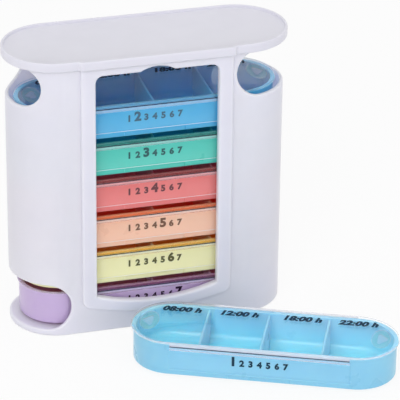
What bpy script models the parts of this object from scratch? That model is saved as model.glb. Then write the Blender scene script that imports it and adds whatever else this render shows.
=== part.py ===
"""Weekly pill organizer: a tower that holds a stack of seven day trays with clear sliding lids.

The tower stands on z = 0 with its width along X and its window facing -Y. The origin is the centre of its
base. Six trays are stacked in it, and the Monday tray lies in front of it. Blender 4.5, metres, +Z up.
"""
import math

import bmesh
import bpy
from mathutils import Matrix, Vector

MM = 0.001

# Tower
TOWER_WIDTH = 140.0 * MM
TOWER_DEPTH = 47.6 * MM
TOWER_WALL = 1.8 * MM
TOWER_FLOOR = 3.6 * MM
FOOT_ROUND = 1.4 * MM
SLOT_COUNT = 7
HEADROOM = 1.1 * MM
SEAT_GAP = 0.3 * MM
OVERRUN = 4.0 * MM

# Tray and lid
LID_END_PLAY = 2.0 * MM
LID_SIDE_PLAY = 0.8 * MM
LID_END_REACH = 1.2 * MM
LID_PLATE = 1.0 * MM
LID_ROUND = 0.4 * MM
RAIL_THICKNESS = 0.7 * MM
RAIL_LIP = 1.9 * MM
RAIL_LIP_REACH = 0.6 * MM
RAIL_SETBACK = 1.4 * MM
TRAY_HEIGHT = 18.4 * MM
TRAY_WALL = 1.5 * MM
TRAY_FLOOR = 1.6 * MM
TRAY_FOOT_HEIGHT = 1.2 * MM
TRAY_FOOT_INSET = 3.4 * MM
TRAY_LOW_ROUND = 0.6 * MM
SCOOP_REACH = 5.0 * MM
SCOOP_HEIGHT = 3.6 * MM
FLANGE_REACH = 0.6 * MM
FLANGE_HEIGHT = 0.6 * MM
DIVIDER_PITCH = 30.0 * MM
DIVIDER_THICKNESS = 1.2 * MM
DIVIDER_DROP = 0.8 * MM
PANEL_DEPTH = 0.4 * MM
PANEL_HALF_WIDTH = 44.6 * MM
PANEL_LOW = 4.2 * MM
PANEL_TOP_MARGIN = 1.6 * MM
TAB_HALF_WIDTH = 15.5 * MM
TAB_LEDGE = 0.8 * MM
MARK_FROM_END = 9.0 * MM
MARK_RECESS_REACH = 4.7 * MM
MARK_RECESS_HALF_WIDTH = 9.0 * MM
MARK_RECESS_DEPTH = 0.4 * MM
MARK_LENGTH = 5.1 * MM
MARK_HALF_WIDTH = 4.4 * MM
MARK_ROUND = 1.1 * MM

# Window and the raised frame round it
FRAME_PROUD = 1.5 * MM
FRAME_SIDE = 7.3 * MM
FRAME_FOOT = 6.1 * MM
FRAME_EDGE = 1.2 * MM
FRAME_SAG = 4.4 * MM
FRAME_CORNER = 5.0 * MM
WINDOW_WIDTH = 61.8 * MM
WINDOW_TOP_BAND = 4.1 * MM
WINDOW_LOW = 15.6 * MM
WINDOW_SAG = 5.2 * MM
WINDOW_CORNER = 3.8 * MM
NOTCH_HALF_WIDTH = 8.6 * MM
NOTCH_HEIGHT = 2.4 * MM

# Ports at the tower's ends: the radius of each inner end, how far in it lies, and where its sill lies
PORT_RADIUS = 12.5 * MM
EXIT_PORT_TO_FRAME = 5.5 * MM
LOADING_PORT_TO_FRAME = 2.1 * MM
SIDE_PORT_RADIUS = 10.8 * MM
SIDE_PORT_REACH = 12.7 * MM
LOADING_SILL_DROP = 2.4 * MM
SIDE_SILL_RISE = 0.7 * MM

# Cap
CAP_HEIGHT = 4.7 * MM
CAP_OVERHANG = 1.7 * MM
CAP_RIM = 1.3 * MM
CAP_RECESS = 1.4 * MM
CAP_ROUND = 0.5 * MM
LIP_DROP = 1.0 * MM
LIP_THICKNESS = 1.4 * MM
LIP_PLAY = 0.4 * MM

# The tray on the table: how far it stands to the right and in front of the window frame, and its turn
LOOSE_SHIFT = 41.0 * MM
LOOSE_GAP = 10.6 * MM
LOOSE_TURN = -24.2

# Fineness of the round shapes in steps, and the angle in degrees past which an edge stays sharp
HALF_ROUND_STEPS = 12
EDGE_STEPS = 2
SCOOP_STEPS = 3
CORNER_STEPS = 4
ARC_STEPS = 10
PORT_STEPS = 12
SHARP_ANGLE = 35

# Worked out from the sizes above
SHAFT_WIDTH = TOWER_WIDTH - 2 * TOWER_WALL
SHAFT_DEPTH = TOWER_DEPTH - 2 * TOWER_WALL
LID_LENGTH = SHAFT_WIDTH - 2 * LID_END_PLAY
LID_DEPTH = SHAFT_DEPTH - 2 * LID_SIDE_PLAY
TRAY_LENGTH = LID_LENGTH - 2 * LID_END_REACH
TRAY_DEPTH = LID_DEPTH - 2 * (RAIL_THICKNESS + SEAT_GAP + FLANGE_REACH)
TRAY_STRAIGHT = TRAY_LENGTH - TRAY_DEPTH
LID_LOW = TRAY_HEIGHT + SEAT_GAP
LID_TOP = LID_LOW + LID_PLATE
PITCH = LID_TOP + SEAT_GAP
WALL_TOP = TOWER_FLOOR + SEAT_GAP + SLOT_COUNT * PITCH + HEADROOM
CAP_LOW = WALL_TOP + SEAT_GAP
FRONT = -TOWER_DEPTH / 2
FRAME_HALF_WIDTH = WINDOW_WIDTH / 2 + FRAME_SIDE
EXIT_PORT_REACH = TOWER_WIDTH / 2 - FRAME_HALF_WIDTH - EXIT_PORT_TO_FRAME
LOADING_PORT_REACH = TOWER_WIDTH / 2 - FRAME_HALF_WIDTH - LOADING_PORT_TO_FRAME
TOP_SLOT = TOWER_FLOOR + (SLOT_COUNT - 1) * PITCH

# Colours as linear values, with roughness and transmission
WHITE_PLASTIC = ("white plastic", (0.72, 0.72, 0.79), 0.35, 0.0)
CLEAR_PLASTIC = ("clear plastic", (0.86, 0.92, 0.94), 0.08, 0.9)
DAYS = (
    ("monday", (0.21, 0.58, 0.83)),
    ("tuesday", (0.06, 0.36, 0.69)),
    ("wednesday", (0.05, 0.46, 0.35)),
    ("thursday", (0.68, 0.14, 0.14)),
    ("friday", (0.83, 0.45, 0.28)),
    ("saturday", (0.80, 0.73, 0.33)),
    ("sunday", (0.44, 0.26, 0.60)),
)
TRAY_ROUGHNESS = 0.3


def clear_scene():
    """Empty the file of objects."""
    for item in list(bpy.data.objects):
        bpy.data.objects.remove(item, do_unlink=True)


def material(name, colour, roughness, transmission):
    """A plain plastic with the given look."""
    made = bpy.data.materials.new(name)
    made.use_nodes = True
    shader = made.node_tree.nodes["Principled BSDF"]
    shader.inputs["Base Color"].default_value = (*colour, 1)
    shader.inputs["Roughness"].default_value = roughness
    shader.inputs["Metallic"].default_value = 0
    shader.inputs["Transmission Weight"].default_value = transmission
    return made


def add_object(name, mesh, finish=None):
    """Put a mesh in the scene under a name, with its material."""
    made = bpy.data.objects.new(name, mesh)
    bpy.context.scene.collection.objects.link(made)
    if finish:
        made.data.materials.append(finish)
    return made


def mesh_from(bm, name):
    """Turn a bmesh into a mesh with its faces pointing out."""
    bmesh.ops.recalc_face_normals(bm, faces=bm.faces)
    mesh = bpy.data.meshes.new(name)
    bm.to_mesh(mesh)
    bm.free()
    return mesh


def stadium(length, depth, inset=0.0):
    """A flat outline with two round ends, anticlockwise from the front of the right end."""
    half_straight = (length - depth) / 2
    radius = depth / 2 - inset
    points = []
    for side, start in ((1, -90.0), (-1, 90.0)):
        for step in range(HALF_ROUND_STEPS + 1):
            turn = math.radians(start + 180.0 * step / HALF_ROUND_STEPS)
            points.append((side * half_straight + radius * math.cos(turn), radius * math.sin(turn)))
    return points


def arc_points(centre, radius, start, end, steps):
    """Points along an arc, between two angles in degrees."""
    points = []
    for step in range(steps + 1):
        turn = math.radians(start + (end - start) * step / steps)
        points.append((centre[0] + radius * math.cos(turn), centre[1] + radius * math.sin(turn)))
    return points


def point_along(axis, u, v, w):
    """A point of a flat outline, at a distance w along the axis that the outline is square to."""
    if axis == "X":
        return (w, u, v)
    if axis == "Y":
        return (u, w, v)
    return (u, v, w)


def loft(rings, name, axis="Z"):
    """A closed solid through outlines of equal point count, capped at the first and the last."""
    bm = bmesh.new()
    loops = [[bm.verts.new(point_along(axis, u, v, w)) for u, v in outline] for outline, w in rings]
    count = len(loops[0])
    for near, far in zip(loops, loops[1:]):
        for k in range(count):
            following = (k + 1) % count
            bm.faces.new((near[k], near[following], far[following], far[k]))
    bm.faces.new(loops[0])
    bm.faces.new(loops[-1])
    return mesh_from(bm, name)


def slab(points, low, high, name, axis="Z"):
    """An outline extruded along an axis, from one level to another."""
    return loft([(points, low), (points, high)], name, axis)


def block(low, high, name):
    """A box between two corners."""
    corners = ((low[0], low[1]), (high[0], low[1]), (high[0], high[1]), (low[0], high[1]))
    return slab(corners, low[2], high[2], name)


def guide(mesh, name):
    """A shape that only cuts or joins, hidden from the render."""
    made = add_object(name, mesh)
    made.hide_render = True
    made.display_type = "WIRE"
    return made


def combine(target, operation, tool_mesh, name):
    """Join a shape to an object, or cut it out, and keep the result in the object's mesh."""
    tool = guide(tool_mesh, name)
    step = target.modifiers.new(name, "BOOLEAN")
    step.operation = operation
    step.solver = "EXACT"
    step.object = tool
    bpy.context.view_layer.update()
    graph = bpy.context.evaluated_depsgraph_get()
    result = bpy.data.meshes.new_from_object(target.evaluated_get(graph))
    target.modifiers.remove(step)
    old = target.data
    target.data = result
    bpy.data.meshes.remove(old)
    bpy.data.objects.remove(tool, do_unlink=True)


def smooth(target):
    """Shade round faces smooth and keep real edges sharp."""
    target.data.shade_smooth()
    target.data.set_sharp_from_angle(angle=math.radians(SHARP_ANGLE))


def edge_rings(outline, z_edge, z_inner, radius):
    """Rings round an outer edge: from inset by the radius at one level to the full outline at the other."""
    rings = []
    for step in range(EDGE_STEPS + 1):
        turn = math.radians(90.0 * step / EDGE_STEPS)
        inset = radius * (1 - math.sin(turn))
        rings.append((outline(inset), z_edge + (z_inner - z_edge) * (1 - math.cos(turn))))
    return rings


# The tower's housing

def window_outline():
    """The window: arched foot, rounded upper corners and a finger notch in its top edge."""
    half = WINDOW_WIDTH / 2
    top = WALL_TOP - WINDOW_TOP_BAND
    foot_radius = (half ** 2 + WINDOW_SAG ** 2) / (2 * WINDOW_SAG)
    spread = math.degrees(math.asin(half / foot_radius))
    points = arc_points((0, WINDOW_LOW + foot_radius), foot_radius, -90 - spread, -90 + spread, ARC_STEPS)
    points += arc_points((half - WINDOW_CORNER, top - WINDOW_CORNER), WINDOW_CORNER, 0, 90, CORNER_STEPS)
    notch_radius = (NOTCH_HALF_WIDTH ** 2 + NOTCH_HEIGHT ** 2) / (2 * NOTCH_HEIGHT)
    notch_spread = math.degrees(math.asin(NOTCH_HALF_WIDTH / notch_radius))
    notch_centre = (0, top + NOTCH_HEIGHT - notch_radius)
    points += arc_points(notch_centre, notch_radius, 90 - notch_spread, 90 + notch_spread, CORNER_STEPS)
    points += arc_points((WINDOW_CORNER - half, top - WINDOW_CORNER), WINDOW_CORNER, 90, 180, CORNER_STEPS)
    return points


def frame_outline(inset):
    """The raised frame: an arched foot with round corners and straight sides up to the cap."""
    half = FRAME_HALF_WIDTH - inset
    low = WINDOW_LOW - FRAME_FOOT + inset
    inner = half - FRAME_CORNER
    foot_radius = (inner ** 2 + FRAME_SAG ** 2) / (2 * FRAME_SAG)
    spread = math.degrees(math.asin(inner / foot_radius))
    corner_z = low + FRAME_SAG + FRAME_CORNER
    points = arc_points((0, low + foot_radius), foot_radius, -90 - spread, -90 + spread, ARC_STEPS)
    points += arc_points((inner, corner_z), FRAME_CORNER, -90 + spread, 0, CORNER_STEPS)
    points += [(half, WALL_TOP), (-half, WALL_TOP)]
    points += arc_points((-inner, corner_z), FRAME_CORNER, 180, 270 - spread, CORNER_STEPS)
    return points


def frame_mesh():
    """The raised frame's solid, rooted in the front wall, with a softened front edge."""
    root = FRONT + TOWER_WALL / 2
    face = FRONT - FRAME_PROUD
    levels = [(frame_outline(0.0), root)]
    for step in range(EDGE_STEPS + 1):
        turn = math.radians(90.0 * step / EDGE_STEPS)
        inset = FRAME_EDGE * (1 - math.cos(turn))
        levels.append((frame_outline(inset), face + FRAME_EDGE * (1 - math.sin(turn))))
    return loft(levels, "window frame", "Y")


def port_outline(side, reach, radius, sill):
    """A port that runs out through the tower's end: a flat sill and a round inner end."""
    centre = (side * (TOWER_WIDTH / 2 - reach + radius), sill + radius)
    outer = side * (TOWER_WIDTH / 2 + OVERRUN)
    points = [(outer, sill)]
    if side > 0:
        points += arc_points(centre, radius, 270, 90, PORT_STEPS)
    else:
        points += arc_points(centre, radius, -90, 90, PORT_STEPS)
    points.append((outer, sill + 2 * radius))
    return points


def make_housing(finish):
    """The white tower: tube, floor and window frame in one moulding, with its window and three ports."""
    def outer(inset):
        """The tower's outer outline, drawn in."""
        return stadium(TOWER_WIDTH, TOWER_DEPTH, inset)

    rings = edge_rings(outer, 0.0, FOOT_ROUND, FOOT_ROUND)
    rings.append((outer(0.0), WALL_TOP))
    rings.append((outer(TOWER_WALL), WALL_TOP))
    rings.append((outer(TOWER_WALL), TOWER_FLOOR))
    housing = add_object("housing", loft(rings, "housing"), finish)
    combine(housing, "UNION", frame_mesh(), "window frame")
    cut_front = FRONT - FRAME_PROUD - OVERRUN
    cut_inside = FRONT + TOWER_WALL + OVERRUN
    combine(housing, "DIFFERENCE", slab(window_outline(), cut_front, cut_inside, "window", "Y"), "window")
    across = TOWER_DEPTH / 2 + OVERRUN
    ports = (
        ("exit port", -1, EXIT_PORT_REACH, PORT_RADIUS, TOWER_FLOOR),
        ("loading port", 1, LOADING_PORT_REACH, PORT_RADIUS, TOP_SLOT - LOADING_SILL_DROP),
        ("side port", -1, SIDE_PORT_REACH, SIDE_PORT_RADIUS, TOP_SLOT + SIDE_SILL_RISE),
    )
    for name, side, reach, radius, sill in ports:
        cutter = slab(port_outline(side, reach, radius, sill), -across, across, name, "Y")
        combine(housing, "DIFFERENCE", cutter, name)
    smooth(housing)
    return housing


# The cap

def cap_outline(length, depth, inset, proud):
    """The cap's outline: two round ends, and a front that steps forward over the window frame."""
    points = stadium(length, depth, inset)
    front = -(depth / 2 - inset)
    half = FRAME_HALF_WIDTH - inset
    points += [(-half - proud, front), (-half, front - proud)]
    points += [(half, front - proud), (half + proud, front)]
    return points


def make_cap(finish):
    """The cap: a plate with a thin raised rim, and a lip below that drops inside the housing."""
    def outer(inset):
        """The cap's outer outline, drawn in."""
        return cap_outline(TOWER_WIDTH + 2 * CAP_OVERHANG, TOWER_DEPTH + 2 * CAP_OVERHANG, inset, FRAME_PROUD)

    def lip(inset):
        """The locating lip's outline, drawn in."""
        return cap_outline(SHAFT_WIDTH - 2 * LIP_PLAY, SHAFT_DEPTH - 2 * LIP_PLAY, inset, 0.0)

    top = CAP_LOW + CAP_HEIGHT
    lip_low = WALL_TOP - LIP_DROP
    rings = [(lip(LIP_THICKNESS), CAP_LOW), (lip(LIP_THICKNESS), lip_low)]
    rings += [(lip(0.0), lip_low), (lip(0.0), CAP_LOW)]
    rings += edge_rings(outer, CAP_LOW, CAP_LOW + CAP_ROUND, CAP_ROUND)
    rings += reversed(edge_rings(outer, top, top - CAP_ROUND, CAP_ROUND))
    rings += [(outer(CAP_RIM), top), (outer(CAP_RIM), top - CAP_RECESS)]
    cap = add_object("top_cap", loft(rings, "top_cap"), finish)
    smooth(cap)
    return cap


# The day trays and their lids, each made once and shared by the seven days

def tray_mesh():
    """A tray: a stadium box on a stepped foot, with a scooped floor, a rim flange and three dividers.

    Its front has a shallow panel, and a tab below it.
    """
    def outer(inset):
        """The tray's outer outline, drawn in."""
        return stadium(TRAY_LENGTH, TRAY_DEPTH, inset)

    flange_low = TRAY_HEIGHT - FLANGE_HEIGHT
    rings = [(outer(TRAY_FOOT_INSET), 0.0), (outer(TRAY_FOOT_INSET), TRAY_FOOT_HEIGHT)]
    rings += edge_rings(outer, TRAY_FOOT_HEIGHT, TRAY_FOOT_HEIGHT + TRAY_LOW_ROUND, TRAY_LOW_ROUND)
    rings += [(outer(0.0), flange_low), (outer(-FLANGE_REACH), flange_low)]
    rings += [(outer(-FLANGE_REACH), TRAY_HEIGHT), (outer(TRAY_WALL), TRAY_HEIGHT)]
    for step in range(SCOOP_STEPS + 1):
        turn = math.radians(90.0 * step / SCOOP_STEPS)
        inset = TRAY_WALL + SCOOP_REACH * (1 - math.cos(turn))
        rings.append((outer(inset), TRAY_FLOOR + SCOOP_HEIGHT * (1 - math.sin(turn))))
    tray = add_object("tray", loft(rings, "tray"))
    depth_reach = TRAY_DEPTH / 2 - TRAY_WALL / 2
    divider_root = (TRAY_FOOT_HEIGHT + TRAY_FLOOR) / 2
    for k in (-1, 0, 1):
        middle = k * DIVIDER_PITCH
        low = (middle - DIVIDER_THICKNESS / 2, -depth_reach, divider_root)
        high = (middle + DIVIDER_THICKNESS / 2, depth_reach, TRAY_HEIGHT - DIVIDER_DROP)
        combine(tray, "UNION", block(low, high, "divider"), "divider")
    front = -TRAY_DEPTH / 2
    recesses = (
        ("panel", PANEL_HALF_WIDTH, PANEL_LOW, flange_low - PANEL_TOP_MARGIN),
        ("tab", TAB_HALF_WIDTH, -OVERRUN, PANEL_LOW - TAB_LEDGE),
    )
    for name, half_width, low_z, high_z in recesses:
        low = (-half_width, front - OVERRUN, low_z)
        high = (half_width, front + PANEL_DEPTH, high_z)
        combine(tray, "DIFFERENCE", block(low, high, name), name)
    mesh = tray.data
    bpy.data.objects.remove(tray, do_unlink=True)
    return mesh


def mark_outline(side):
    """The thumb mark: a triangle with round corners that points to the lid's end."""
    tip = Vector((MARK_LENGTH * 2 / 3 - MARK_ROUND, 0.0))
    back = MARK_ROUND - MARK_LENGTH / 3
    half_base = MARK_HALF_WIDTH - MARK_ROUND
    corners = (tip, Vector((back, half_base)), Vector((back, -half_base)))
    points = []
    for k, corner in enumerate(corners):
        before = corners[k - 1]
        after = corners[(k + 1) % len(corners)]
        start = math.degrees(math.atan2(-(corner - before).x, (corner - before).y))
        end = math.degrees(math.atan2(-(after - corner).x, (after - corner).y))
        if end < start:
            end += 360
        points += arc_points(corner, MARK_ROUND, start, end, CORNER_STEPS)
    middle = side * (LID_LENGTH / 2 - MARK_FROM_END)
    return [(middle + side * x, y) for x, y in points]


def lid_mesh():
    """A lid: a clear plate with a hooked rail down each straight side and a thumb mark at each end.

    Each mark lies in an oval recess that is wider across the lid than along it.
    """
    def outer(inset):
        """The lid's outer outline, drawn in."""
        return stadium(LID_LENGTH, LID_DEPTH, inset)

    rings = [(outer(0.0), LID_LOW)]
    rings += reversed(edge_rings(outer, LID_TOP, LID_TOP - LID_ROUND, LID_ROUND))
    lid = add_object("lid", loft(rings, "lid"))
    rail_half = TRAY_STRAIGHT / 2 - RAIL_SETBACK
    lip_top = TRAY_HEIGHT - FLANGE_HEIGHT - SEAT_GAP
    lip_low = lip_top - RAIL_LIP
    outer_y = LID_DEPTH / 2
    inner_y = outer_y - RAIL_THICKNESS
    hook_y = inner_y - RAIL_LIP_REACH
    plate_mid = (LID_LOW + LID_TOP) / 2
    profile = ((outer_y, lip_low), (outer_y, plate_mid), (inner_y, plate_mid), (inner_y, lip_top),
               (hook_y, lip_top), (hook_y, lip_low))
    for side in (-1, 1):
        section = [(side * y, z) for y, z in profile]
        combine(lid, "UNION", slab(section, -rail_half, rail_half, "rail", "X"), "rail")
    recess_low = LID_TOP - MARK_RECESS_DEPTH
    for side in (-1, 1):
        middle = side * (LID_LENGTH / 2 - MARK_FROM_END)
        ring = arc_points((0.0, 0.0), MARK_RECESS_REACH, 0, 360, 2 * HALF_ROUND_STEPS)[:-1]
        oval = [(middle + x, y * MARK_RECESS_HALF_WIDTH / MARK_RECESS_REACH) for x, y in ring]
        combine(lid, "DIFFERENCE", slab(oval, recess_low, LID_TOP + OVERRUN, "recess"), "recess")
        combine(lid, "UNION", slab(mark_outline(side), plate_mid, LID_TOP, "mark"), "mark")
    mesh = lid.data
    bpy.data.objects.remove(lid, do_unlink=True)
    return mesh


def make_days():
    """Six trays stacked in the tower with Sunday at the foot, and the Monday tray on the table."""
    tray_shape = tray_mesh()
    lid_shape = lid_mesh()
    half_straight = (LID_LENGTH - LID_DEPTH) / 2
    turn = math.radians(LOOSE_TURN)
    reach_back = half_straight * abs(math.sin(turn)) + LID_DEPTH / 2
    loose_y = FRONT - FRAME_PROUD - LOOSE_GAP - reach_back
    for number, (day, colour) in enumerate(DAYS):
        if number == 0:
            place = Matrix.Translation((LOOSE_SHIFT, loose_y, 0.0)) @ Matrix.Rotation(turn, 4, "Z")
        else:
            level = TOWER_FLOOR + SEAT_GAP + (SLOT_COUNT - 1 - number) * PITCH
            place = Matrix.Translation((0.0, 0.0, level))
        for kind, shape, finish in (
            ("tray", tray_shape, material(day + " plastic", colour, TRAY_ROUGHNESS, 0.0)),
            ("lid", lid_shape, material(day + " " + CLEAR_PLASTIC[0], *CLEAR_PLASTIC[1:])),
        ):
            piece = add_object(day + "_" + kind, shape.copy(), finish)
            piece.matrix_world = place
            smooth(piece)
    for shape in (tray_shape, lid_shape):
        bpy.data.meshes.remove(shape)


clear_scene()
make_housing(material("housing " + WHITE_PLASTIC[0], *WHITE_PLASTIC[1:]))
make_cap(material("cap " + WHITE_PLASTIC[0], *WHITE_PLASTIC[1:]))
make_days()
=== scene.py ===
"""Weekly pill organizer: a white tower with seven coloured day trays and clear sliding lids.

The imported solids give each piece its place. The pieces are built again over them with their fine edges and
their finish, in the order in which the organizer is put together.
"""
import math

import bmesh
import bpy
import numpy as np
from mathutils import Matrix, Vector, geometry


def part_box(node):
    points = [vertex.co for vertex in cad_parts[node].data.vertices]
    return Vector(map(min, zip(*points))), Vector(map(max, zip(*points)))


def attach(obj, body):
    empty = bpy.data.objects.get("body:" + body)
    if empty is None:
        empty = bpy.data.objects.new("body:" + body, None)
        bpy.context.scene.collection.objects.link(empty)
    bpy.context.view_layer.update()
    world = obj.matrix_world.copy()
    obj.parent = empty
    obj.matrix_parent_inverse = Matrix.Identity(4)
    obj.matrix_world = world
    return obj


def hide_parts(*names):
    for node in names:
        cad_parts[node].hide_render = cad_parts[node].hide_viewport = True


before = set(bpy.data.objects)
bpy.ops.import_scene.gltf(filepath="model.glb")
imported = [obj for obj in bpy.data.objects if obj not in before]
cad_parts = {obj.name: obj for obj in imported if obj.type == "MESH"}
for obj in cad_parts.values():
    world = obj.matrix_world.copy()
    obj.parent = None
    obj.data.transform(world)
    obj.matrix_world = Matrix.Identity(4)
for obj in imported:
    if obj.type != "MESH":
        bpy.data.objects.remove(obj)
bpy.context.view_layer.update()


# Camera: a long lens in front of the tower, to its left and above it. Its place and its angles were fitted
# to the outlines of the tower and of the tray on the table.
MM = 0.001
camera_place = Vector((-318.4, -1215.0, 697.0)) * MM
camera_turn = math.radians(15.95)
camera_dip = math.radians(26.93)
camera_roll = math.radians(0.65)
camera_lens = 252.0
camera_sensor = 36.0

camera = bpy.data.objects.new("camera", bpy.data.cameras.new("camera"))
bpy.context.scene.collection.objects.link(camera)
camera.data.lens = camera_lens
camera.data.sensor_width = camera_sensor
turned = Matrix.Rotation(-camera_turn, 4, "Z") @ Matrix.Rotation(math.pi / 2 - camera_dip, 4, "X")
camera.matrix_world = Matrix.Translation(camera_place) @ turned @ Matrix.Rotation(camera_roll, 4, "Z")
bpy.context.scene.camera = camera
bpy.context.scene.view_settings.view_transform = "Standard"


# Studio: a white surround that lights the object evenly from all sides, a large soft lamp from the front
# left, a low one from the front right, and a white table top that keeps a faint shadow.
def linear(code):
    """An sRGB hex colour as linear values with full alpha."""
    parts = [int(code[k:k + 2], 16) / 255 for k in (1, 3, 5)]
    return (*[p / 12.92 if p <= 0.04045 else ((p + 0.055) / 1.055) ** 2.4 for p in parts], 1.0)


def add_node(tree, kind, settings, inputs):
    """Adds a node with its settings. Each input is a value, or an output of another node to link.

    Inputs go by their names, or by their numbers on a node that has several of one name.
    """
    made = tree.nodes.new(kind)
    for name, value in settings.items():
        setattr(made, name, value)
    for name, value in inputs.items():
        if isinstance(value, bpy.types.NodeSocket):
            tree.links.new(value, made.inputs[name])
        else:
            made.inputs[name].default_value = value
    return made


def rays_that_see_white(tree):
    """One for rays that come from the camera, or by way of a gloss or a clear lid, and zero for the rest."""
    path = add_node(tree, "ShaderNodeLightPath", {}, {}).outputs
    largest = {"operation": "MAXIMUM"}
    either = add_node(tree, "ShaderNodeMath", largest, {0: path["Is Camera Ray"], 1: path["Is Glossy Ray"]})
    all_three = add_node(tree, "ShaderNodeMath", largest, {
        0: either.outputs[0], 1: path["Is Transmission Ray"]})
    return all_three.outputs[0]


surround_light = 0.72
world = bpy.data.worlds.new("white studio")
world.use_nodes = True
world.node_tree.nodes.clear()
seen = rays_that_see_white(world.node_tree)
strength = add_node(world.node_tree, "ShaderNodeMix", {}, {0: seen, 2: surround_light, 3: 1.0})
sky = add_node(world.node_tree, "ShaderNodeBackground", {}, {
    "Color": linear("#FFFFFF"), "Strength": strength.outputs[0]})
add_node(world.node_tree, "ShaderNodeOutputWorld", {}, {"Surface": sky.outputs[0]})
bpy.context.scene.world = world

table_size = 6.0
table_gap = 0.3 * MM
table_white_share = 0.88
table_mesh = bpy.data.meshes.new("table top")
corners = [(x * table_size / 2, y * table_size / 2, -table_gap)
           for x, y in ((-1, -1), (1, -1), (1, 1), (-1, 1))]
table_mesh.from_pydata(corners, [], [(0, 1, 2, 3)])
table = bpy.data.objects.new("table_top", table_mesh)
bpy.context.scene.collection.objects.link(table)

# White laminate: plain and matt. Seen straight, in a gloss or through a lid, most of it is an even white, and
# the rest of it keeps the faint shadow.
table_white = bpy.data.materials.new("white laminate")
table_white.use_nodes = True
tree = table_white.node_tree
tree.nodes.clear()
lit = add_node(tree, "ShaderNodeBsdfDiffuse", {}, {"Color": linear("#FAFAFA")})
glow = add_node(tree, "ShaderNodeEmission", {}, {"Color": linear("#FFFFFF"), "Strength": 1.0})
share = add_node(tree, "ShaderNodeMath", {"operation": "MULTIPLY"}, {
    0: rays_that_see_white(tree), 1: table_white_share})
mixed = add_node(tree, "ShaderNodeMixShader", {}, {
    0: share.outputs[0], 1: lit.outputs[0], 2: glow.outputs[0]})
add_node(tree, "ShaderNodeOutputMaterial", {}, {"Surface": mixed.outputs[0]})
table_mesh.materials.append(table_white)

lamp_target = Vector((0.0, 0.0, 0.06))
for name, place, size, power in (
    ("key lamp", Vector((-0.55, -0.95, 0.95)), 0.7, 4.6),
    ("front fill lamp", Vector((0.35, -1.25, 0.30)), 0.8, 2.4),
):
    lamp = bpy.data.objects.new(name, bpy.data.lights.new(name, "AREA"))
    lamp.data.size = size
    lamp.data.energy = power
    lamp.location = place
    lamp.rotation_mode = "QUATERNION"
    lamp.rotation_quaternion = (lamp_target - place).to_track_quat("-Z", "Y")
    bpy.context.scene.collection.objects.link(lamp)


# Housing: the tower's tube, its floor and the raised frame round the window are one injection moulding of
# white polypropylene. Its ends are round, and three ports are cut through them.
wall = 1.8 * MM
floor_top = 3.55 * MM
foot_round = 1.4 * MM
_, housing_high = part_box("housing")
radius = housing_high.y
straight = housing_high.x - radius
rim_z = housing_high.z
turn_steps = 72
wall_rows = 36
touching = 1e-7
hairbreadth = 0.02 * MM
half_way = 2 * straight + math.pi * radius


def wall_point(along, z, out):
    """A point at a distance along the wall from its front centre, and at a distance out from its face."""
    side = math.copysign(1, along)
    past = abs(along) - straight
    if past <= 0:
        return Vector((along, -radius - out, z))
    if past < math.pi * radius:
        turn = past / radius
        reach = radius + out
        return Vector((side * (straight + reach * math.sin(turn)), -reach * math.cos(turn), z))
    return Vector((side * (straight - past + math.pi * radius), radius + out, z))


def along_wall(x):
    """How far along the wall a point of the front half lies, from its distance to the middle."""
    return x if x <= straight else straight + radius * math.asin(min(1.0, (x - straight) / radius))


def arc(centre, reach, start, end, steps):
    """Points along an arc, between two angles in degrees."""
    turns = [math.radians(start + (end - start) * k / steps) for k in range(steps + 1)]
    return [(centre[0] + reach * math.cos(t), centre[1] + reach * math.sin(t)) for t in turns]


def foot_arc(half, sag, low, steps):
    """A shallow arch that bulges down between two sides, from the left, and its half angle in degrees."""
    reach = (half ** 2 + sag ** 2) / (2 * sag)
    spread = math.degrees(math.asin(half / reach))
    return arc((0, low + reach), reach, -90 - spread, -90 + spread, steps), spread


window_half = 30.9 * MM
window_low = 15.6 * MM
window_sag = 5.2 * MM
window_top_bar = 4.1 * MM
window_corner = 3.8 * MM
window_round = 1.2 * MM
notch_half = 8.6 * MM
notch_rise = 2.4 * MM
arch_steps = 40
corner_steps = 10
notch_steps = 16

window_top = rim_z - window_top_bar
window, _ = foot_arc(window_half, window_sag, window_low, arch_steps)
bend_x, bend_z = window_half - window_corner, window_top - window_corner
window += arc((bend_x, bend_z), window_corner, 0, 90, corner_steps)
notch_reach = (notch_half ** 2 + notch_rise ** 2) / (2 * notch_rise)
notch_spread = math.degrees(math.asin(notch_half / notch_reach))
notch_z = window_top + notch_rise - notch_reach
window += arc((0, notch_z), notch_reach, 90 - notch_spread, 90 + notch_spread, notch_steps)
window += arc((-bend_x, bend_z), window_corner, 90, 180, corner_steps)

frame_side_bar = 7.3 * MM
frame_foot_bar = 6.1 * MM
frame_half = window_half + frame_side_bar
frame_low = window_low - frame_foot_bar
frame_sag = 4.4 * MM
frame_corner = 5.0 * MM
frame_corner_steps = 12

# From its outline inward, the frame swells out of the wall to its full height.
frame_offsets = [v * MM for v in (-0.5, -0.25, -0.08, 0.0, 0.05, 0.25, 0.6, 1.2)]
frame_heights = [v * MM for v in (0.0, 0.05, 0.2, 0.45, 0.8, 1.15, 1.4, 1.5)]

inner_half = frame_half - frame_corner
arch, arch_spread = foot_arc(inner_half, frame_sag, frame_low, arch_steps)
corner_z = frame_low + frame_sag + frame_corner
frame_line = [(-frame_half, rim_z)]
frame_line += arc((-inner_half, corner_z), frame_corner, 180, 270 - arch_spread, frame_corner_steps)
frame_line += arch[1:-1]
frame_line += arc((inner_half, corner_z), frame_corner, -90 + arch_spread, 0, frame_corner_steps)
frame_line += [(frame_half, rim_z)]


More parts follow.
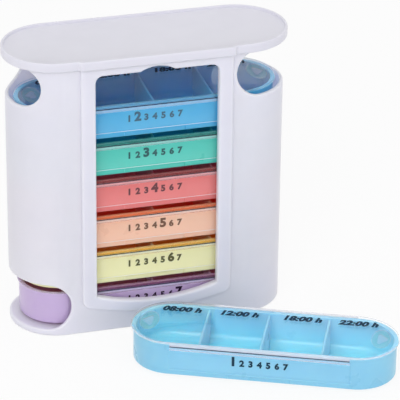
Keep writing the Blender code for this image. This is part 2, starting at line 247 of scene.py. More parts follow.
def grown(points, grow, closed):
    """A flat outline moved out from itself, along the mean of its edges' directions at each point."""
    at = np.array(points)
    edges = np.roll(at, -1, axis=0) - at
    edges /= np.linalg.norm(edges, axis=1)[:, None]
    before = np.roll(edges, 1, axis=0)
    if not closed:
        edges[-1] = edges[-2]
        before[0] = edges[0]
    out = np.stack([edges[:, 1] + before[:, 1], -edges[:, 0] - before[:, 0]], axis=1)
    out /= (1 + (edges * before).sum(axis=1))[:, None]
    return [tuple(p) for p in at + grow * out]


port_steps = 28
port_spacing = 0.6 * MM
port_round = 0.9 * MM

# Each port has its side of the tower, the distance out and the height of its centre, and its radius.
ports = {
    "exit": (-1, 56.2 * MM, 16.1 * MM, 12.5 * MM),
    "loading": (1, 52.8 * MM, 133.7 * MM, 12.5 * MM),
    "side": (-1, 68.1 * MM, 135.1 * MM, 10.8 * MM),
}


def port_line(port, grow, top):
    """A port's outline along the wall, grown all round: round where it ends at the front and the back.

    It is cut off at the given height if it reaches past it. Also says if it is closed.
    """
    side, x, z, port_radius = port
    reach = port_radius + grow
    climb = min(1.0, (top - z) / reach)
    start = 180 - math.degrees(math.asin(climb))
    front = [(along_wall(u), v) for u, v in arc((x, z), reach, start, 270, port_steps)]
    front[0] = (front[0][0], z + reach * climb)
    middle = straight + math.pi * radius / 2
    steps = max(2, round((middle - front[-1][0]) / port_spacing))
    across = [(front[-1][0] + 2 * (middle - front[-1][0]) * k / steps, z - reach) for k in range(1, steps)]
    line = front + across + [(2 * middle - u, v) for u, v in reversed(front)]
    if climb == 1.0:
        line += [(u, z + reach) for u, v in reversed(across)]
    return [(side * u, v) for u, v in line], climb == 1.0


def depth_inside(points, outline):
    """How deep each flat point lies inside a closed outline, as a number under zero where it lies outside."""
    start = np.array(outline)
    step = np.roll(start, -1, axis=0) - start
    gap = points[:, None] - start[None]
    share = np.clip((gap * step).sum(axis=2) / (step ** 2).sum(axis=1), 0, 1)
    nearest = np.linalg.norm(gap - share[..., None] * step, axis=2).min(axis=1)
    end = start + step
    spans = (start[:, 1] > points[:, None, 1]) != (end[:, 1] > points[:, None, 1])
    rise = np.where(step[:, 1] == 0, 1, step[:, 1])
    crossing = start[:, 0] + gap[..., 1] / rise * step[:, 0]
    inside = (spans & (points[:, None, 0] < crossing)).sum(axis=1) % 2 == 1
    return np.where(inside, nearest, -nearest)


past_rim = 40 * MM
above = rim_z + past_rim
frame_shape = frame_line + [(frame_half, above), (-frame_half, above)]
openings = [(window, window_round)] + [(port_line(port, 0, above)[0], port_round) for port in ports.values()]


def face_height(points):
    """How far out the face stands: the raised frame, less the rounding at the edge of each opening."""
    height = np.interp(depth_inside(points, frame_shape), frame_offsets, frame_heights)
    for outline, edge_round in openings:
        gap = np.clip(-depth_inside(points, outline), 0, edge_round)
        height -= edge_round - np.sqrt(edge_round ** 2 - (edge_round - gap) ** 2)
    return height


round_steps = 5
round_shares = [1 - math.cos(math.radians(90 * k / round_steps)) for k in range(round_steps + 1)]
course = [math.copysign(straight + math.pi * radius * k / turn_steps, side)
          for side in (-1, 1) for k in range(turn_steps + 1)]
course = sorted(course + [-half_way, half_way])
opening_lines = [(window, True)] + [port_line(port, 0, rim_z) for port in ports.values()]
edge_lines = [(grown(window, share * window_round, True), True) for share in round_shares[1:]]
edge_lines += [port_line(port, share * port_round, rim_z)
               for port in ports.values() for share in round_shares[1:]]
edge_lines += [(grown(frame_line, -offset, False), False) for offset in frame_offsets]
rim = set(course)
for line, closed in opening_lines + edge_lines:
    if not closed:
        rim |= {line[0][0], line[-1][0]}
in_opening = np.array([(a, rim_z) for a in rim])
blocked = np.max([depth_inside(in_opening, outline) for outline, _ in openings], axis=0) > touching
rim = sorted(a for a, inside in zip(in_opening[:, 0], blocked) if not inside)
grid_clearance = 0.4 * MM


def wall_skin(low, lines, height):
    """One face of the wall as triangles, from a level up to the rim and less the openings."""
    verts, edges = [], []
    rows = [low + (rim_z - low) * k / wall_rows for k in range(wall_rows + 1)]
    border = [(a, low) for a in course] + [(half_way, z) for z in rows[1:-1]]
    border += [(a, rim_z) for a in reversed(rim)] + [(-half_way, z) for z in reversed(rows[1:-1])]
    for line, closed in lines + [(border, True)]:
        first, count = len(verts), len(line)
        verts += line
        edges += [(first + k, first + (k + 1) % count) for k in range(count if closed else count - 1)]
    grid = np.array([(a, z) for a in course[1:-1] for z in rows[1:-1]])
    clear = np.max([depth_inside(grid, outline) + edge_round for outline, edge_round in openings], axis=0)
    verts += [tuple(p) for p in grid[clear < -grid_clearance]]
    flat, _, faces, *_ = geometry.delaunay_2d_cdt([Vector(v) for v in verts], edges, [], 0, touching, False)
    flat = np.array([tuple(v) for v in flat])
    faces = np.array(faces)
    centres = flat[faces].mean(axis=1)
    solid = np.max([depth_inside(centres, outline) for outline, _ in openings], axis=0) < 0
    spots = [wall_point(a, z, out) for (a, z), out in zip(flat, height(flat))]
    return [[spots[v] for v in face] for face in faces[solid]]


def inner_face(points):
    """The inner face lies one wall in from the outer face."""
    return np.full(len(points), -wall)


def bridge(line, closed):
    """Quads between the outer and the inner face of the wall along a line."""
    outer = [wall_point(*p, out) for p, out in zip(line, face_height(np.array(line)))]
    inner = [wall_point(*p, -wall) for p in line]
    count = len(line)
    return [[outer[k], outer[(k + 1) % count], inner[(k + 1) % count], inner[k]]
            for k in range(count if closed else count - 1)]


weld_reach = 0.002 * MM


def welded(name, faces):
    """One closed mesh from loose faces whose corners meet."""
    bm = bmesh.new()
    for face in faces:
        bm.faces.new([bm.verts.new(corner) for corner in face])
    bmesh.ops.remove_doubles(bm, verts=bm.verts, dist=weld_reach)
    bmesh.ops.recalc_face_normals(bm, faces=bm.faces)
    mesh = bpy.data.meshes.new(name)
    bm.to_mesh(mesh)
    bm.free()
    return mesh


faces = wall_skin(foot_round, opening_lines + edge_lines, face_height)
faces += wall_skin(floor_top, opening_lines, inner_face)
for line, closed in opening_lines:
    faces += bridge(line, closed)
for a, b in zip(rim, rim[1:]):
    middle = np.array([((a + b) / 2, rim_z)])
    if max(depth_inside(middle, outline)[0] for outline, _ in openings) < 0:
        faces += bridge([(a, rim_z), (b, rim_z)], False)
for low, high in zip(round_shares, round_shares[1:]):
    rows = [[wall_point(a, foot_round * (1 - math.sqrt(1 - (1 - s) ** 2)), -foot_round * s) for a in course]
            for s in (low, high)]
    faces += [[rows[0][k], rows[0][k + 1], rows[1][k + 1], rows[1][k]] for k in range(len(course) - 1)]
faces.append([wall_point(a, 0, -foot_round) for a in course[:-1]])
faces.append([wall_point(a, floor_top, -wall) for a in course[:-1]])
housing_mesh = welded("housing_shell", faces)

# Painted glow: the inner faces of the white walls glow a little, standing in for the light that soaks through
# the walls. It grows from a trace in the middle to its full strength near the ports at the ends. The floor is
# left out.
least_painted_glow = 0.05
painted_glow_start = 40 * MM
painted_glow_ramp = 15 * MM
painted_glow_gap = 1 * MM
painted_glow = housing_mesh.attributes.new("shade", "FLOAT", "CORNER").data
for face in housing_mesh.polygons:
    x, y, z = face.center
    inner = math.hypot(max(abs(x) - straight, 0), y) < radius - wall + hairbreadth
    if inner and z > floor_top + painted_glow_gap:
        for corner in face.loop_indices:
            painted_glow[corner].value = min(1.0, max(least_painted_glow, (abs(x) - painted_glow_start) / painted_glow_ramp))

sharp_angle = math.radians(34)


def moulded(name, mesh, body, node, finishes):
    """A piece that stands for a node of the frame, rides on its body and takes its finish from a slot."""
    mesh.shade_smooth()
    mesh.set_sharp_from_angle(angle=sharp_angle)
    for finish in finishes:
        mesh.materials.append(finish)
    piece = bpy.data.objects.new(name, mesh)
    bpy.context.scene.collection.objects.link(piece)
    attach(piece, body)
    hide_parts(node)


# White polypropylene: a soft sheen, with the faint cloudiness and the orange peel of a moulded surface. It is
# a little cool, never pure white, and light soaks some way into it.
def polypropylene(name, light, cloudy, sheens, soak, soak_depth, shade, glow):
    """A milky moulding between two tones, with faint clouds, a fine orange peel and light that soaks in.

    Where a mesh says how deep its corners lie in the piece's own shade, it goes over to a third tone as
    painted shade. A painted glow in a fourth colour comes out there too, standing in for the light that
    passes through the pieces round it.
    """
    # The real orange peel is about a third as coarse. It is drawn as coarse as it needs to show.
    cloud_size = 12 * MM
    peel_size = 0.9 * MM
    peel_depth = 0.006 * MM
    made = bpy.data.materials.new(name)
    made.use_nodes = True
    tree = made.node_tree
    shader = tree.nodes["Principled BSDF"]
    where = add_node(tree, "ShaderNodeTexCoord", {}, {}).outputs["Object"]
    cloud = add_node(tree, "ShaderNodeTexNoise", {}, {
        "Vector": where, "Scale": 1 / cloud_size, "Detail": 3.0})
    tone = add_node(tree, "ShaderNodeMix", {"data_type": "RGBA"}, {
        0: cloud.outputs[0], 6: linear(cloudy), 7: linear(light)})
    # The painted shade and the painted glow both follow the mesh's shade marks.
    depth = add_node(tree, "ShaderNodeAttribute", {"attribute_name": "shade"}, {}).outputs["Fac"]
    tone = add_node(tree, "ShaderNodeMix", {"data_type": "RGBA"}, {
        0: depth, 6: tone.outputs[2], 7: linear(shade)})
    sheen = add_node(tree, "ShaderNodeMapRange", {}, {0: cloud.outputs[0], 3: sheens[0], 4: sheens[1]})
    peel = add_node(tree, "ShaderNodeTexNoise", {}, {"Vector": where, "Scale": 1 / peel_size, "Detail": 2.0})
    bump = add_node(tree, "ShaderNodeBump", {}, {
        "Height": peel.outputs[0], "Distance": peel_depth, "Strength": 1.0})
    tree.links.new(tone.outputs[2], shader.inputs["Base Color"])
    tree.links.new(depth, shader.inputs["Emission Strength"])
    tree.links.new(sheen.outputs[0], shader.inputs["Roughness"])
    tree.links.new(bump.outputs[0], shader.inputs["Normal"])
    shader.inputs["Emission Color"].default_value = linear(glow)
    shader.inputs["IOR"].default_value = 1.49
    shader.inputs["Subsurface Weight"].default_value = soak
    shader.inputs["Subsurface Radius"].default_value = (1.0, 1.0, 1.0)
    shader.inputs["Subsurface Scale"].default_value = soak_depth
    return made


white_tones = ("#E7E6F0", "#E1E0EA")
white_sheens = (0.28, 0.36)
# The housing's inner faces take a painted glow in this grey lilac. Its shade tone is its own light tone, so
# it paints no shade.
white = polypropylene(
    "white polypropylene", *white_tones, sheens=white_sheens, soak=1.0, soak_depth=2.5 * MM,
    shade=white_tones[0], glow="#6A6670")
moulded("housing_shell", housing_mesh, "tower", "housing", [white])


# Cap: a flat moulding of the same white polypropylene that closes the tower, with a thin raised rim. A lip
# below it drops inside the housing, and its front steps forward over the window frame.
cap_seam = 0.3 * MM
cap_low = rim_z + cap_seam
cap_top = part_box("top_cap")[1].z
cap_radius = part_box("top_cap")[1].y
cap_edge = 0.6 * MM
cap_rim = 1.3 * MM
cap_rim_edge = 0.3 * MM
cap_recess = 1.4 * MM
lip_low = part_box("top_cap")[0].z
lip_play = 0.4 * MM
lip_radius = radius - wall - lip_play
lip_wall = 1.4 * MM
cap_end_steps = 60
frame_proud = frame_heights[-1]


def plan_outline(half, end_radius, steps):
    """A flat outline with two round ends, anticlockwise from the front of the right end."""
    right = arc((half, 0), end_radius, -90, 90, steps)
    return right + [(-x, -y) for x, y in right]


def cap_outline(reach, proud):
    """The cap's outline, with the step forward over the window frame where it is proud."""
    half = frame_half + reach - cap_radius
    step = [(-half - proud, -reach), (-half, -reach - proud), (half, -reach - proud), (half + proud, -reach)]
    return plan_outline(straight, reach, cap_end_steps) + step


def quarter(inset, level, depth, lift, steps):
    """Insets and levels along a quarter round that starts upright and ends flat."""
    turns = [math.radians(90 * k / steps) for k in range(steps + 1)]
    return [(inset + depth * (1 - math.cos(t)), level + lift * math.sin(t)) for t in turns]


def loft(name, rings):
    """A closed solid through outlines of like point count, given with their levels, capped at both ends."""
    points = [[Vector((x, y, z)) for x, y in outline] for outline, z in rings]
    count = len(points[0])
    faces = [[a[k], a[(k + 1) % count], b[(k + 1) % count], b[k]]
             for a, b in zip(points, points[1:]) for k in range(count)]
    return welded(name, faces + [points[0], points[-1]])


rings = [(cap_outline(lip_radius - lip_wall, 0), cap_low), (cap_outline(lip_radius - lip_wall, 0), lip_low)]
rings += [(cap_outline(lip_radius, 0), lip_low), (cap_outline(lip_radius, 0), cap_low)]
profile = list(reversed(quarter(0, cap_low + cap_edge, cap_edge, -cap_edge, steps=4)))
profile += quarter(0, cap_top - cap_edge, cap_edge, cap_edge, steps=5)

# The thin rim: its top with a small round, and its inner face down to the foot of the recess.
for step_in, down in ((0, 0), (0.2 * MM, 0.1 * MM), (cap_rim_edge, cap_rim_edge)):
    profile.append((cap_rim - cap_rim_edge + step_in, cap_top - down))
for step_in, up in ((0, 0.4 * MM), (0.1 * MM, 0.15 * MM), (0.4 * MM, 0)):
    profile.append((cap_rim + step_in, cap_top - cap_recess + up))
rings += [(cap_outline(cap_radius - inset, frame_proud), z) for inset, z in profile]
cap_mesh = loft("cap_shell", rings)

# Painted shade: the upright front of the cap is painted a little deeper in tone than its broad top, as if it
# got less light.
painted_front_shade = 0.8
painted_front_marks = cap_mesh.attributes.new("shade", "FLOAT", "CORNER").data
for face in cap_mesh.polygons:
    for corner in face.loop_indices:
        painted_front_marks[corner].value = painted_front_shade * max(0.0, -face.normal.y) ** 2
# Its third tone is the painted shade of the upright front.
cap_white = polypropylene(
    "solid white polypropylene", *white_tones, sheens=white_sheens, soak=0.3, soak_depth=1.0 * MM,
    shade="#DBDAE5", glow="#000000")
moulded("cap_shell", cap_mesh, "tower", "top_cap", [cap_white])


# Day trays: seven like mouldings of tinted polypropylene, each in its day's colour. Three dividers make
# four compartments, and the flange round the rim carries the lid.
tray_half = 45.4 * MM
tray_radius = 19.6 * MM
tray_height = 18.4 * MM
tray_wall = 1.5 * MM
tray_floor = 1.6 * MM
foot_height = 1.2 * MM
foot_inset = 3.4 * MM
foot_edge = 0.2 * MM
shoulder_round = 0.6 * MM
flange_reach = 0.6 * MM
flange_height = 0.6 * MM
flange_edge = 0.1 * MM
rim_edge = 0.2 * MM
scoop_reach = 5.0 * MM
scoop_height = 3.6 * MM
divider_pitch = 30.0 * MM
divider_half = 0.6 * MM
divider_draft = 0.1 * MM
divider_top = 17.6 * MM
tray_end_steps = 40
overrun = 3.0 * MM


def combined(target, operation, tool):
    """Joins a mesh to another one, or cuts it out of it."""
    holders = [bpy.data.objects.new("shape", mesh) for mesh in (target, tool)]
    for holder in holders:
        bpy.context.scene.collection.objects.link(holder)
    step = holders[0].modifiers.new("step", "BOOLEAN")
    step.operation = operation
    step.solver = "EXACT"
    step.object = holders[1]
    graph = bpy.context.evaluated_depsgraph_get()
    result = bpy.data.meshes.new_from_object(holders[0].evaluated_get(graph))
    for holder in holders:
        bpy.data.objects.remove(holder, do_unlink=True)
    return result


def stood_up(mesh):
    """A mesh turned so that what faced up faces the front."""
    mesh.transform(Matrix.Rotation(math.pi / 2, 4, "X"))
    return mesh


tray_profile = [(foot_inset + foot_edge, 0), (foot_inset, foot_edge), (foot_inset, foot_height)]
shoulder = quarter(0, foot_height + shoulder_round, shoulder_round, -shoulder_round, steps=4)
tray_profile += reversed(shoulder)
flange_low = tray_height - flange_height
tray_profile += [(0, flange_low), (-flange_reach, flange_low), (-flange_reach, tray_height - flange_edge)]
tray_profile += [(flange_edge - flange_reach, tray_height), (tray_wall - rim_edge, tray_height)]
tray_profile += [(tray_wall, tray_height - rim_edge)]
tray_profile += quarter(tray_wall, tray_floor + scoop_height, scoop_reach, -scoop_height, steps=8)
tray_mesh = loft("tray", [(plan_outline(tray_half, tray_radius - inset, tray_end_steps), z)
                          for inset, z in tray_profile])
for k in (-1, 0, 1):
    root = (foot_height + tray_floor) / 2
    blade = [(-divider_half - divider_draft, root), (divider_half + divider_draft, root)]
    blade += arc((0, divider_top - divider_half), divider_half, 0, 180, steps=8)
    blade = [(x + k * divider_pitch, z) for x, z in blade]
    span = tray_radius - tray_wall / 2
    tray_mesh = combined(tray_mesh, "UNION", stood_up(loft("blade", [(blade, -span), (blade, span)])))

panel_half = 44.6 * MM
panel_low = 4.2 * MM
panel_high = 16.2 * MM
panel_depth = 0.4 * MM
panel_slope = 1.2 * MM
panel_ledge = 0.6 * MM
tab_half = 15.5 * MM
tab_high = 3.4 * MM
tab_slope = 0.3 * MM
bead_height = 3.9 * MM
bead_round = 0.28 * MM
bead_sunk = 0.06 * MM


def recess_cutter(half, low, high, slope, ledge):
    """A cutter for a shallow recess in the tray's front, with sloped ends and a sloped ledge at its foot."""
    rings = []
    for reach, drawn in ((tray_radius + overrun, 0), (tray_radius, 0), (tray_radius - panel_depth, 1)):
        side, foot = half - drawn * slope, low + drawn * ledge
        rings.append(([(-side, foot), (side, foot), (side, high), (-side, high)], reach))
    return stood_up(loft("cutter", rings))


panel_cutter = recess_cutter(panel_half, panel_low, panel_high, panel_slope, panel_ledge)
tray_mesh = combined(tray_mesh, "DIFFERENCE", panel_cutter)
tray_mesh = combined(tray_mesh, "DIFFERENCE", recess_cutter(tab_half, -overrun, tab_high, tab_slope, 0))

# A section is drawn flat, and this turn makes it run along the tray.
ALONG = Matrix(((0, 0, 1, 0), (1, 0, 0, 0), (0, 1, 0, 0), (0, 0, 0, 1)))
bead_section = arc((bead_sunk - tray_radius, bead_height), bead_round, 0, 360, steps=12)[:-1]
bead = loft("bead", [(bead_section, -panel_half), (bead_section, panel_half)])
bead.transform(ALONG)
tray_mesh = combined(tray_mesh, "UNION", bead)

# The upper side of the bead takes the second finish of the tray, a painted highlight, and the rest of the
# tray takes the first.
bead_upper = 0.3
for face in tray_mesh.polygons:
    spot = face.center
    on_bead = spot.y < -tray_radius - hairbreadth and abs(spot.z - bead_height) < bead_round
    if on_bead and face.normal.z > bead_upper:
        face.material_index = 1

# Painted shade: a tray's tone goes deeper from its rim down to its floor, and under its stepped foot, where
# shade falls. The same marks set how strong its painted glow is.
shade_margin = 0.05 * MM
shade_at_rim = 0.15
shade_growth = 0.6
shade_under_foot = 0.6
sideways = 0.7


def reach_out(spot):
    """How far a spot lies from the line between the centres of a tray's two round ends."""
    return math.hypot(max(abs(spot.x) - tray_half, 0), spot.y)


def mark_painted_shade(mesh):
    """Notes at each face corner how much painted shade and painted glow it takes, from zero to one, by how
    deep it lies in the tray's own shade.

    The thin dividers pass the light on, so their faces stay at zero, as the outside does.
    """
    painted_shade_and_glow = mesh.attributes.new("shade", "FLOAT", "CORNER").data
    inner_radius = tray_radius - tray_wall
    for face in mesh.polygons:
        spot = face.center
        inside = reach_out(spot) < inner_radius + shade_margin and spot.z > tray_floor - shade_margin
        on_divider = abs(face.normal.x) > sideways and abs(spot.x) < tray_half and abs(spot.y) < inner_radius
        for corner in face.loop_indices:
            height = mesh.vertices[mesh.loops[corner].vertex_index].co.z
            if inside and not on_divider:
                drop = tray_height - height
                painted_shade_and_glow[corner].value = shade_at_rim + shade_growth * drop / (tray_height - tray_floor)
            elif spot.z < foot_height + shade_margin:
                painted_shade_and_glow[corner].value = shade_under_foot


# Tinted polypropylene: milky, so light soaks through its thin walls and comes out in its own colour. Each day
# has its tone and a cloudy one. The third tone is painted shade over the inside and the foot, except for
# Monday, where it is lighter and is painted light. The fourth is a painted glow that stands in for the light
# that soaks in round it.
day_tones = {
    "monday": ("#9BD8F0", "#90CDE9", "#7CEAFF", "#000000"),
    "tuesday": ("#5EBAE4", "#52AFDC", "#109CE8", "#000408"),
    "wednesday": ("#63D2C6", "#58C8BA", "#1C9CA0", "#053A58"),
    "thursday": ("#EC8E8E", "#E48282", "#C82828", "#500608"),
    "friday": ("#F8CFB8", "#F3C5AD", "#E87C50", "#5A0200"),
    "saturday": ("#F5F4C8", "#EFEDBC", "#E0A850", "#5A2400"),
    "sunday": ("#D4C1E4", "#CAB5DC", "#9468A4", "#401424"),
}

# Painted highlight: the upper side of the bead is painted almost white, standing in for the line of light
# that it catches.
painted_highlight_bead = polypropylene(
    "painted highlight on the bead of tinted polypropylene", "#F0F0F6", "#E8E8F0", sheens=(0.2, 0.3), soak=0.3,
    soak_depth=0.3 * MM, shade="#F0F0F6", glow="#000000")

# The first tray lies loose on the table, at an angle to the tower, and the others lie straight in the shaft.
loose_angle = math.radians(-24.2)
loose_turn = Matrix.Rotation(loose_angle, 4, "Z")
places = {}
for day, (light, cloudy, shade, glow) in day_tones.items():
    low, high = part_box(day + "_tray")
    middle = (low + high) / 2
    turn = loose_turn if day == "monday" else Matrix()
    places[day] = Matrix.Translation((middle.x, middle.y, low.z)) @ turn
    mesh = tray_mesh.copy()
    mark_painted_shade(mesh)
    mesh.transform(places[day])
    finish = polypropylene(
        day + " tinted polypropylene", light, cloudy, sheens=(0.24, 0.34), soak=1.0,
        soak_depth=0.8 * MM, shade=shade, glow=glow)
    finishes = [finish, finish if day == "monday" else painted_highlight_bead]
    moulded(day + "_tray_moulding", mesh, day + "_tray", day + "_tray", finishes)


# Lids: clear polystyrene plates that slide along the trays on two hooked rails. Each has an oval thumb
# recess near either end, with a raised arrow that points outward.
lid_half = 45.0 * MM
lid_radius = 21.2 * MM
lid_play = 0.3 * MM
lid_thickness = 1.0 * MM
lid_low = tray_height + lid_play
lid_high = lid_low + lid_thickness
lid_end_steps = 48
rail_half = 44.0 * MM
rail_thickness = 0.7 * MM
rail_root = 0.4 * MM
lip_top = flange_low - lid_play
lip_thickness = 1.9 * MM
lip_reach = 0.6 * MM
groove_low = 17.2 * MM
groove_high = 17.8 * MM
groove_depth = 0.25 * MM
groove_slope = 0.1 * MM
edge_slope = 0.6 * MM
edge_width = 0.7 * MM
mark_from_end = 9.0 * MM
mark_place = lid_half + lid_radius - mark_from_end
recess_reach = 4.7 * MM
recess_side = 9.0 * MM
recess_depth = 0.4 * MM
recess_edge = 0.3 * MM
recess_lead = 0.15 * MM
mark_tip = 3.4 * MM
mark_back = 1.7 * MM
mark_side = 4.4 * MM
mark_round = 1.1 * MM

# The plate has a fine bevel below, and its upper edge slopes off and rounds over into the top.
lid_profile = [(0.1 * MM, lid_low), (0, lid_low + 0.1 * MM), (0, lid_high - edge_slope)]
lid_profile += [(0.15 * MM, lid_high - edge_slope / 2), (0.45 * MM, lid_high - 0.1 * MM)]
lid_profile += [(0.8 * MM, lid_high)]
lid_mesh = loft("lid", [(plan_outline(lid_half, lid_radius - inset, lid_end_steps), z)
                        for inset, z in lid_profile])
for side in (-1, 1):
    root = lid_low + rail_root
    section = [(lid_radius, lip_top - lip_thickness), (lid_radius, groove_low)]
    section += [(lid_radius - groove_depth, groove_low + groove_slope)]
    section += [(lid_radius - groove_depth, groove_high - groove_slope)]
    section += [(lid_radius, groove_high), (lid_radius, root), (lid_radius - rail_thickness, root)]
    section += [(lid_radius - rail_thickness, lip_top), (lid_radius - rail_thickness - lip_reach, lip_top)]
    section += [(lid_radius - rail_thickness - lip_reach, lip_top - lip_thickness)]
    outline = [(side * y, z) for y, z in section]
    rail = loft("rail", [(outline, -rail_half), (outline, rail_half)])
    rail.transform(ALONG)
    lid_mesh = combined(lid_mesh, "UNION", rail)
for side in (-1, 1):
    rings = []
    drawn = ((-recess_edge, -recess_depth), (0, -recess_edge), (recess_lead, 0), (recess_lead, overrun))
    for grow, level in drawn:
        oval = [(side * mark_place + (recess_reach + grow) * x, (recess_side + grow) * y)
                for x, y in arc((0, 0), 1, 0, 360, steps=64)[:-1]]
        rings.append((oval, lid_high + level))
    lid_mesh = combined(lid_mesh, "DIFFERENCE", loft("recess", rings))
    corners = ((mark_tip - mark_round, 0, -60), (mark_round - mark_back, mark_side - mark_round, 60),
               (mark_round - mark_back, mark_round - mark_side, 180))
    arrow = [spot for x, y, start in corners
             for spot in arc((x, y), mark_round, start, start + 120, steps=8)]
    arrow = [(side * (mark_place + x), side * y) for x, y in arrow]
    root = (lid_low + lid_high) / 2
    lid_mesh = combined(lid_mesh, "UNION", loft("arrow", [(arrow, root), (arrow, lid_high - hairbreadth)]))

# Each kind of face on a lid has its own finish, in this order. The edge and milky faces take painted light,
# and the groove faces take painted shade.
CLEAR, EDGE, GROOVE, MILKY, RECESS = range(5)
mark_margin = 0.2 * MM
level_floor = 0.95
for face in lid_mesh.polygons:
    spot = face.center
    on_rail = abs(spot.y) > lid_radius - groove_depth - hairbreadth
    in_oval = abs(abs(spot.x) - mark_place) < recess_reach + mark_margin
    in_mark = in_oval and abs(spot.y) < recess_side + mark_margin
    if on_rail and groove_low < spot.z < groove_high:
        face.material_index = GROOVE
    elif on_rail and spot.z < groove_low:
        face.material_index = MILKY
    elif reach_out(spot) > lid_radius - edge_width:
        face.material_index = EDGE
    elif in_mark and spot.z > lid_high - recess_depth - hairbreadth:
        on_floor = spot.z < lid_high - recess_edge and face.normal.z > level_floor
        face.material_index = RECESS if on_floor else MILKY
    else:
        face.material_index = CLEAR


# Clear polystyrene: hard, glossy and almost colourless. It lets light through to what lies under it, so the
# rays that carry shadows pass. Its edges and rails are painted milky, a painted highlight for the light they
# gather. The grooves of its rails are painted dark, a painted shade. Its thumb recesses are textured, so they
# look frosted.
def polystyrene(name, tint, clearness, polishes):
    """A clear moulding with a faint waviness. Where it is less clear, the rest of it is milky."""
    wave_size = 9 * MM
    wave_depth = 0.02 * MM
    made = bpy.data.materials.new(name)
    made.use_nodes = True
    tree = made.node_tree
    shader = tree.nodes["Principled BSDF"]
    shader.inputs["Base Color"].default_value = linear(tint)
    shader.inputs["Transmission Weight"].default_value = clearness
    shader.inputs["IOR"].default_value = 1.06
    shader.inputs["Coat Weight"].default_value = 0.75
    shader.inputs["Coat Roughness"].default_value = 0.04
    shader.inputs["Coat IOR"].default_value = 1.5
    where = add_node(tree, "ShaderNodeTexCoord", {}, {}).outputs["Object"]
    wave = add_node(tree, "ShaderNodeTexNoise", {}, {"Vector": where, "Scale": 1 / wave_size, "Detail": 1.0})
    polish = add_node(tree, "ShaderNodeMapRange", {}, {0: wave.outputs[0], 3: polishes[0], 4: polishes[1]})
    bump = add_node(tree, "ShaderNodeBump", {}, {
        "Height": wave.outputs[0], "Distance": wave_depth, "Strength": 1.0})
    tree.links.new(polish.outputs[0], shader.inputs["Roughness"])
    tree.links.new(bump.outputs[0], shader.inputs["Normal"])
    path = add_node(tree, "ShaderNodeLightPath", {}, {}).outputs
    passing = add_node(tree, "ShaderNodeBsdfTransparent", {}, {"Color": linear("#FCFEFF")})
    mixed = add_node(tree, "ShaderNodeMixShader", {}, {
        0: path["Is Shadow Ray"], 1: shader.outputs[0], 2: passing.outputs[0]})
    tree.links.new(mixed.outputs[0], tree.nodes["Material Output"].inputs["Surface"])
    return made


polished = (0.03, 0.07)
satin = (0.15, 0.25)
textured = (0.2, 0.3)
clear = polystyrene("clear polystyrene", "#FBFEFF", clearness=1.0, polishes=polished)
# Painted highlights on the edges and the rails, and painted shade in the grooves.
bright = polystyrene("painted highlight on the edge of clear polystyrene", "#F2F0F6", clearness=0.6, polishes=satin)
milky = polystyrene("painted highlight on the rail of clear polystyrene", "#F2F0F6", clearness=0.8, polishes=satin)
frosted = polystyrene(
    "frosted thumb recess of clear polystyrene", "#B4E8E4", clearness=0.78, polishes=textured)
painted_groove_shade = polystyrene("painted shade in the groove of clear polystyrene", "#3E4452", clearness=0.55, polishes=satin)

# Painted light and shade: in the tower, the edge of each lid is tinted with the colours of the light and the
# shade in the trays above and below it. The Sunday lid ends in the open exit port, and its edge there takes
# the painted highlight of the milky rails. The loose Monday lid keeps the painted highlight of the bright
# edge.
painted_edge_tones = {
    "tuesday": "#C8E0E8", "wednesday": "#64B0B0", "thursday": "#A86C6C",
    "friday": "#F0A070", "saturday": "#F4C878", "sunday": "#AC7C90",
}
for day in day_tones:
    edge = bright
    if day in painted_edge_tones:
        edge = polystyrene(
            day + " light in an edge of clear polystyrene", painted_edge_tones[day], clearness=0.95, polishes=satin)
    mesh = lid_mesh.copy()
    for face in mesh.polygons:
        if day == "sunday" and face.material_index == EDGE and abs(face.center.x) > lid_half:
            face.material_index = MILKY
    mesh.transform(places[day])
    finishes = [clear, edge, painted_groove_shade, milky, frosted]
    moulded(day + "_lid_moulding", mesh, day + "_lid", day + "_lid", finishes)


# Marks: printed in dark ink. Each tray's front has the figures of the seven days in a row, with its own day's
# figure large and the rest small. Each lid has an hour over every compartment.
print_thickness = 0.04 * MM
print_weld = 0.001 * MM
day_pitch = 4.3 * MM
day_large = 5.2 * MM
day_small = 3.6 * MM
day_base = 8.6 * MM
day_bold = 0.05
hour_figure = 5.0 * MM
hour_line = 13.2 * MM
hour_bold = 0.06
hour_slant = 0.25
hours = (("08:00 h", -42.8 * MM), ("12:00 h", -14.0 * MM), ("18:00 h", 17.4 * MM), ("22:00 h", 44.8 * MM))


def figures(words, height, bold, slant):
    """Figures as a thin closed mesh that faces up, centred on the origin."""
    curve = bpy.data.curves.new("figures", "FONT")
    curve.body = words
    curve.offset = bold
    curve.shear = slant
    curve.space_character = 1.06
    curve.extrude = 0.5
    curve.resolution_u = 4
    holder = bpy.data.objects.new("figures", curve)
    bpy.context.scene.collection.objects.link(holder)
    mesh = bpy.data.meshes.new_from_object(holder.evaluated_get(bpy.context.evaluated_depsgraph_get()))
    bpy.data.objects.remove(holder, do_unlink=True)
    corners = np.array([v.co for v in mesh.vertices])
    low, high = corners.min(axis=0), corners.max(axis=0)
    size = height / (high[1] - low[1])
    shrunk = Matrix.Diagonal((size, size, print_thickness, 1))
    mesh.transform(shrunk @ Matrix.Translation(-Vector((low + high) / 2)))
    return mesh


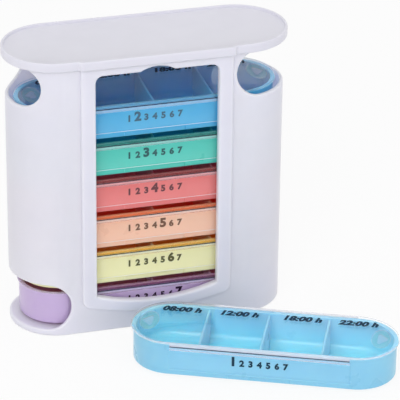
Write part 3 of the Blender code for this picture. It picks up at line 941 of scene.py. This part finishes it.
def ink(name, code):
    """A matt dark ink that is a little uneven, as pad printing leaves it."""
    # The real grain of the ink is much finer. It is drawn as coarse as it needs to show.
    grain_size = 0.5 * MM
    grain_depth = 0.004 * MM
    deeper = 0.85
    made = bpy.data.materials.new(name)
    made.use_nodes = True
    tree = made.node_tree
    shader = tree.nodes["Principled BSDF"]
    shader.inputs["Specular IOR Level"].default_value = 0.2
    where = add_node(tree, "ShaderNodeTexCoord", {}, {}).outputs["Object"]
    grain = add_node(tree, "ShaderNodeTexNoise", {}, {
        "Vector": where, "Scale": 1 / grain_size, "Detail": 2.0})
    dark = [deeper * v for v in linear(code)[:3]] + [1.0]
    tone = add_node(tree, "ShaderNodeMix", {"data_type": "RGBA"}, {
        0: grain.outputs[0], 6: dark, 7: linear(code)})
    matt = add_node(tree, "ShaderNodeMapRange", {}, {0: grain.outputs[0], 3: 0.5, 4: 0.65})
    bump = add_node(tree, "ShaderNodeBump", {}, {
        "Height": grain.outputs[0], "Distance": grain_depth, "Strength": 1.0})
    tree.links.new(tone.outputs[2], shader.inputs["Base Color"])
    tree.links.new(matt.outputs[0], shader.inputs["Roughness"])
    tree.links.new(bump.outputs[0], shader.inputs["Normal"])
    return made


def printed(name, shapes, place, body, finish):
    """Shapes with their places on a piece, as one print that rides on its body."""
    bm = bmesh.new()
    for shape, spot in shapes:
        shape.transform(place @ spot)
        bm.from_mesh(shape)
    bmesh.ops.remove_doubles(bm, verts=bm.verts, dist=print_weld)
    mesh = bpy.data.meshes.new(name)
    bm.to_mesh(mesh)
    bm.free()
    mesh.materials.append(finish)
    piece = bpy.data.objects.new(name, mesh)
    bpy.context.scene.collection.objects.link(piece)
    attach(piece, body)


day_inks = {
    "monday": "#17384F", "tuesday": "#4F7088", "wednesday": "#3F6769", "thursday": "#75494E",
    "friday": "#82604F", "saturday": "#62623F", "sunday": "#2A1633",
}
hour_ink = ink("dark navy ink", "#00344F")
panel_front = panel_depth - tray_radius
day_count = len(day_inks)
for number, (day, code) in enumerate(day_inks.items()):
    shapes = []
    for k in range(day_count):
        height = day_large if k == number else day_small
        along = (k - day_count // 2) * day_pitch
        spot = Matrix.Translation((along, panel_front, day_base + height / 2))
        shapes.append((stood_up(figures(str(k + 1), height, day_bold, 0)), spot))
    printed(day + "_tray_print", shapes, places[day], day + "_tray", ink(day + " tray ink", code))
    shapes = []
    for hour, along in hours:
        spot = Matrix.Translation((along, hour_line, lid_high))
        shapes.append((figures(hour, hour_figure, hour_bold, hour_slant), spot))
    printed(day + "_lid_print", shapes, places[day], day + "_lid", hour_ink)
